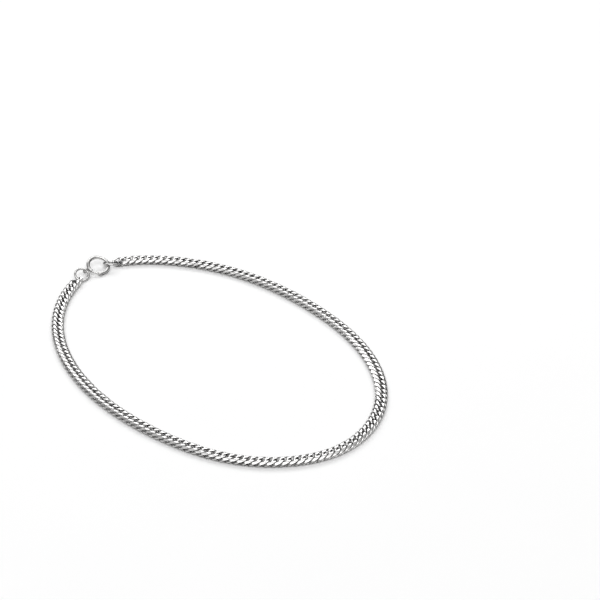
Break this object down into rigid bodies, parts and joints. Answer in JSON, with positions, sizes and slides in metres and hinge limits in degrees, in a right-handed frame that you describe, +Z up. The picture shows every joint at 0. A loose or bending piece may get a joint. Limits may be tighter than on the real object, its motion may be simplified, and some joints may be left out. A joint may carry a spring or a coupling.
{
  "type": "chain anklet",
  "caption": "Flat double curb chain anklet in polished steel, a closed loop lying flat, fastened by a spring ring clasp hung between two small jump rings.",
  "frame": {"origin": "on the surface the anklet lies on, under the middle of its outline", "axes": "+Z up from the surface, +X along the loop's longest extent, the clasp on the +X side"},
  "size_m": [0.0908, 0.069, 0.0025],
  "materials": {
    "chain_steel": "polished solid steel, its flats cut bright",
    "ring_steel": "polished round steel wire",
    "clasp_steel": "polished steel tube"
  },
  "bodies": {
    "anklet": {"chain_half_1": "chain_steel", "chain_half_2": "chain_steel", "end_ring": "ring_steel", "catch_ring": "ring_steel", "clasp_ring": "clasp_steel"},
    "bolt": {"clasp_bolt": "clasp_steel"}
  },
  "joints": [
    {"name": "bolt_slide", "type": "hinge", "parent": "anklet", "child": "bolt", "pos_m": [0.04273, 0.01544, 0.00128], "axis": [-0.3304, -0.0885, 0.9397], "range_deg": [0, 42], "stiffness_Nm_per_rad": 0.0004, "springref_deg": -28.65}
  ]
}
